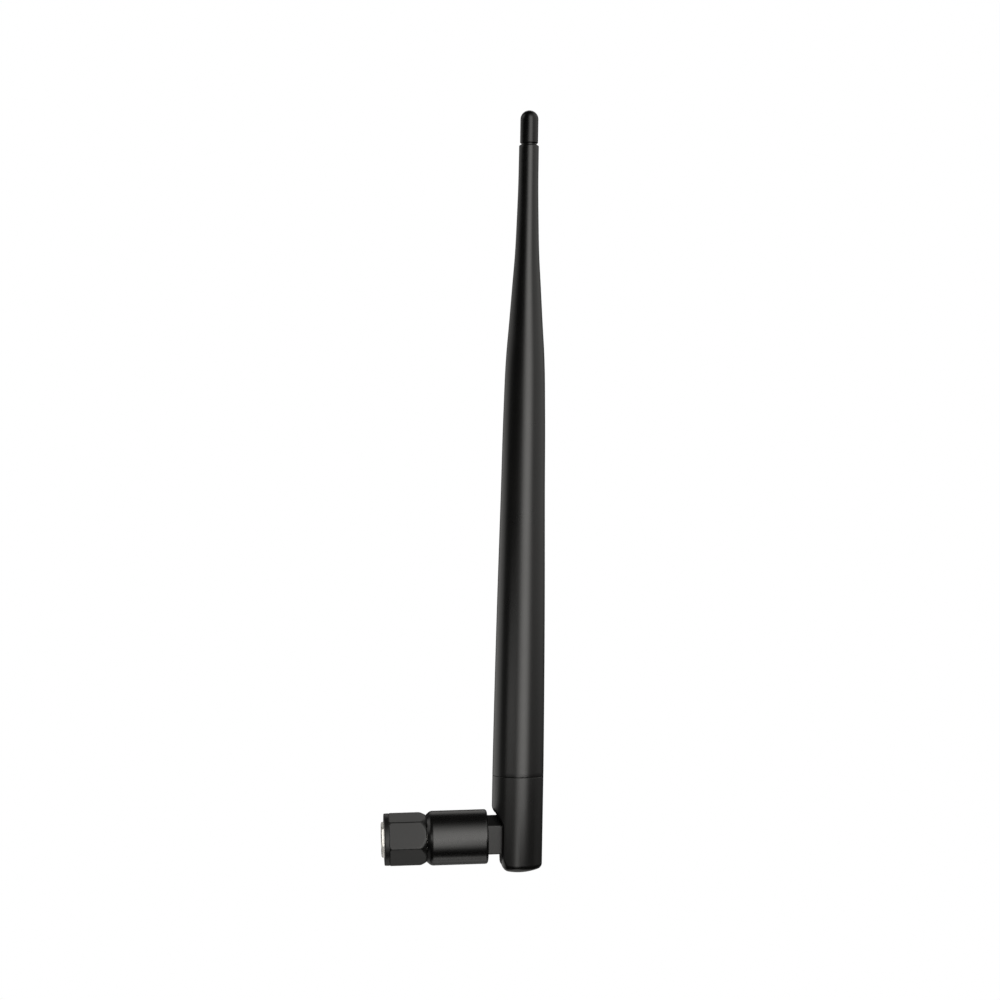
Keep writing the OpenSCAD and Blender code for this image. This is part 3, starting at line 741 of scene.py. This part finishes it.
turn = np.linspace(-math.pi / 2, -LEAN, 40)
bend_path = np.stack([BEND_X + BEND_R * np.cos(turn), np.zeros(40), BEND_R + BEND_R * np.sin(turn)], 1)
bend = dress(tube("coax_quarter_bend", bend_path, COAX_R, 24), "jacket")
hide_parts("coax_bend")
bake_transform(bend)

SLEEVE_Z = SEAM_Z + 4.6
FEED_Z = SLEEVE_Z + 28
COIL_R, COIL_Z, COIL_LEN, TURNS, STEPS = 2.4, 92.0, 16.0, 6, 48
count = TURNS * STEPS
i = np.arange(count + 1)
ease = np.minimum(1, np.minimum(i, count - i) / 24.0)
ease = ease * ease * (3 - 2 * ease)
coil = np.stack([COIL_R * ease * np.cos(2 * math.pi * i / STEPS), COIL_R * ease * np.sin(2 * math.pi * i / STEPS), COIL_Z + COIL_LEN * i / count], 1)
low = np.stack([np.zeros(8), np.zeros(8), np.linspace(FEED_Z + 6, COIL_Z - 1, 8)], 1)
high = np.stack([np.zeros(10), np.zeros(10), np.linspace(COIL_Z + COIL_LEN + 1, 170, 10)], 1)
wire = tube("radiator_wound_wire", leaned(np.concatenate([low, coil, high])), 0.49, 14, (1.0, 0.0, 0.0))
dress(wire, "copper")
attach(wire, "antenna")
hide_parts("radiator_wire")

for node, key in {
    "ptfe_insulator": "ptfe",
    "centre_contact": "gold",
    "nut_snap_ring": "bronze",
    "crimp_ferrule": "ferrule",
    "coax_lead": "jacket",
    "barrel_retainer": "brass",
    "hinge_pin_left": "steel",
    "hinge_pin_right": "steel",
    "coax_riser": "jacket",
    "choke_sleeve": "brass",
    "feed_core": "ptfe",
    "feed_heatshrink": "shrink",
    "spacer_lower": "foam",
    "spacer_upper": "foam",
}.items():
    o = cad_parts[node]
    for s in o.material_slots:
        s.material = M[key]
    if not o.material_slots:
        o.data.materials.append(M[key])

# ------------------------------------------------------------------ stage: pale floor, soft light
import bmesh

floor_mesh = bpy.data.meshes.new("floor")
bm = bmesh.new()
bmesh.ops.create_circle(bm, cap_ends=True, segments=96, radius=5.0)
bm.to_mesh(floor_mesh)
bm.free()
floor = bpy.data.objects.new("floor", floor_mesh)
floor.location = (AXIS_X * MM, 0, -0.205)
bpy.context.scene.collection.objects.link(floor)
floor.visible_glossy = False
floor.visible_diffuse = False
fm = bpy.data.materials.new("pale_floor")
fm.use_nodes = True
fm.node_tree.nodes.clear()
fn = Nodes(fm.node_tree)
em = fn.new("Emission", {"Color": col(1, 1, 1), "Strength": 1.0})
fo = fn.new("OutputMaterial")
fm.node_tree.links.new(em.outputs[0], fo.inputs["Surface"])
floor_mesh.materials.append(fm)



def card(name, corners, glow_strength):
    """A studio card that the camera doesn't see: black to hold light back, or glowing softly."""
    mesh = bpy.data.meshes.new(name)
    mesh.from_pydata([tuple(c * MM for c in q_) for q_ in corners], [], [(0, 1, 2, 3)])
    obj = bpy.data.objects.new(name, mesh)
    bpy.context.scene.collection.objects.link(obj)
    obj.visible_camera = False
    obj.visible_shadow = glow_strength == 0
    m = bpy.data.materials.new(name)
    m.use_nodes = True
    m.node_tree.nodes.clear()
    cn = Nodes(m.node_tree)
    e = cn.new("Emission", {"Color": col(1.0, 0.985, 0.955), "Strength": glow_strength})
    m.node_tree.links.new(e.outputs[0], cn.new("OutputMaterial").inputs["Surface"])
    mesh.materials.append(m)
    return obj


card("flag_low_right", [(39, -115, -12), (330, -60, -12), (330, -60, -190), (39, -115, -190)], 0.0)
card("card_low_left", [(-150, -110, -8), (-40, -180, -8), (-40, -180, 56), (-150, -110, 56)], 1.25)

world = bpy.data.worlds.new("studio")
bpy.context.scene.world = world
world.use_nodes = True
world.node_tree.nodes.clear()
w = Nodes(world.node_tree)
d = w.new("SeparateXYZ", {"Vector": w.new("TexCoord").outputs["Generated"]})
sy, cy = math.sin(YAW), math.cos(YAW)
# az: from the direction of the main view, positive to its right; el: above the horizon, both in degrees
to_right = w.math("SUBTRACT", w.math("MULTIPLY", d.outputs[0], cy), w.math("MULTIPLY", d.outputs[1], sy))
to_view = w.math("ADD", w.math("MULTIPLY", d.outputs[0], -sy), w.math("MULTIPLY", d.outputs[1], -cy))
az = w.math("MULTIPLY", w.math("ARCTAN2", to_right, to_view), 180 / math.pi)
el = w.math("MULTIPLY", w.math("ARCSINE", d.outputs[2]), 180 / math.pi)


def band(v, a0, a1, b0, b1):
    """1 between a1 and b0, falling smoothly to 0 at a0 and b1."""
    return w.math("MULTIPLY", w.ramp(v, a0, a1), w.ramp(v, b0, b1, 1.0, 0.0))


def light(strength, across, up):
    return w.math("MULTIPLY", w.math("MULTIPLY", across, up), strength)


key = light(3.75, band(az, -17, 17, 26, 57), band(el, -52, -15, 14, 74))
fill = light(0.95, band(az, 36, 68, 100, 165), band(el, -12, 1, 40, 75))
strip = light(0.95, band(az, -165, -135, -108, -84), band(el, -50, -12, -4, 26))
low = light(0.22, band(az, -125, -95, -62, -26), band(el, -10, -6, -5, 2))
shoulder = light(0.9, band(az, -38, -14, -4, 16), band(el, -6.5, -3, -1, 4))
chamfer = light(1.0, band(az, -135, -110, -85, -70), band(el, 11, 20, 38, 56))
under = light(2.1, 1.0, w.ramp(el, -79, -89))
under_back = light(0.7, w.ramp(w.math("ABSOLUTE", az), 110, 150), band(el, -84, -76, -64, -52))
rear = light(0.68, w.ramp(w.math("ABSOLUTE", az), 140, 170), band(el, 16, 32, 46, 62))
sill = light(0.25, w.ramp(w.math("ABSOLUTE", az), 130, 165), band(el, -62, -44, -26, -12))
total = 0.003
for part in (key, fill, strip, low, shoulder, chamfer, under, under_back, rear, sill):
    total = w.math("ADD", part, total)
path = w.new("LightPath")
shown = w.new("Background", {"Color": col(1, 1, 1), "Strength": 1.0})
glow = w.new("Background", {"Color": col(1.0, 0.985, 0.955), "Strength": total})
both = w.new("MixShader")
w.put(both.inputs[0], path.outputs["Is Camera Ray"])
world.node_tree.links.new(glow.outputs[0], both.inputs[1])
world.node_tree.links.new(shown.outputs[0], both.inputs[2])
wo = w.new("OutputWorld")
world.node_tree.links.new(both.outputs[0], wo.inputs["Surface"])
bpy.context.scene.view_settings.view_transform = "Standard"
bpy.context.scene.view_settings.look = "None"
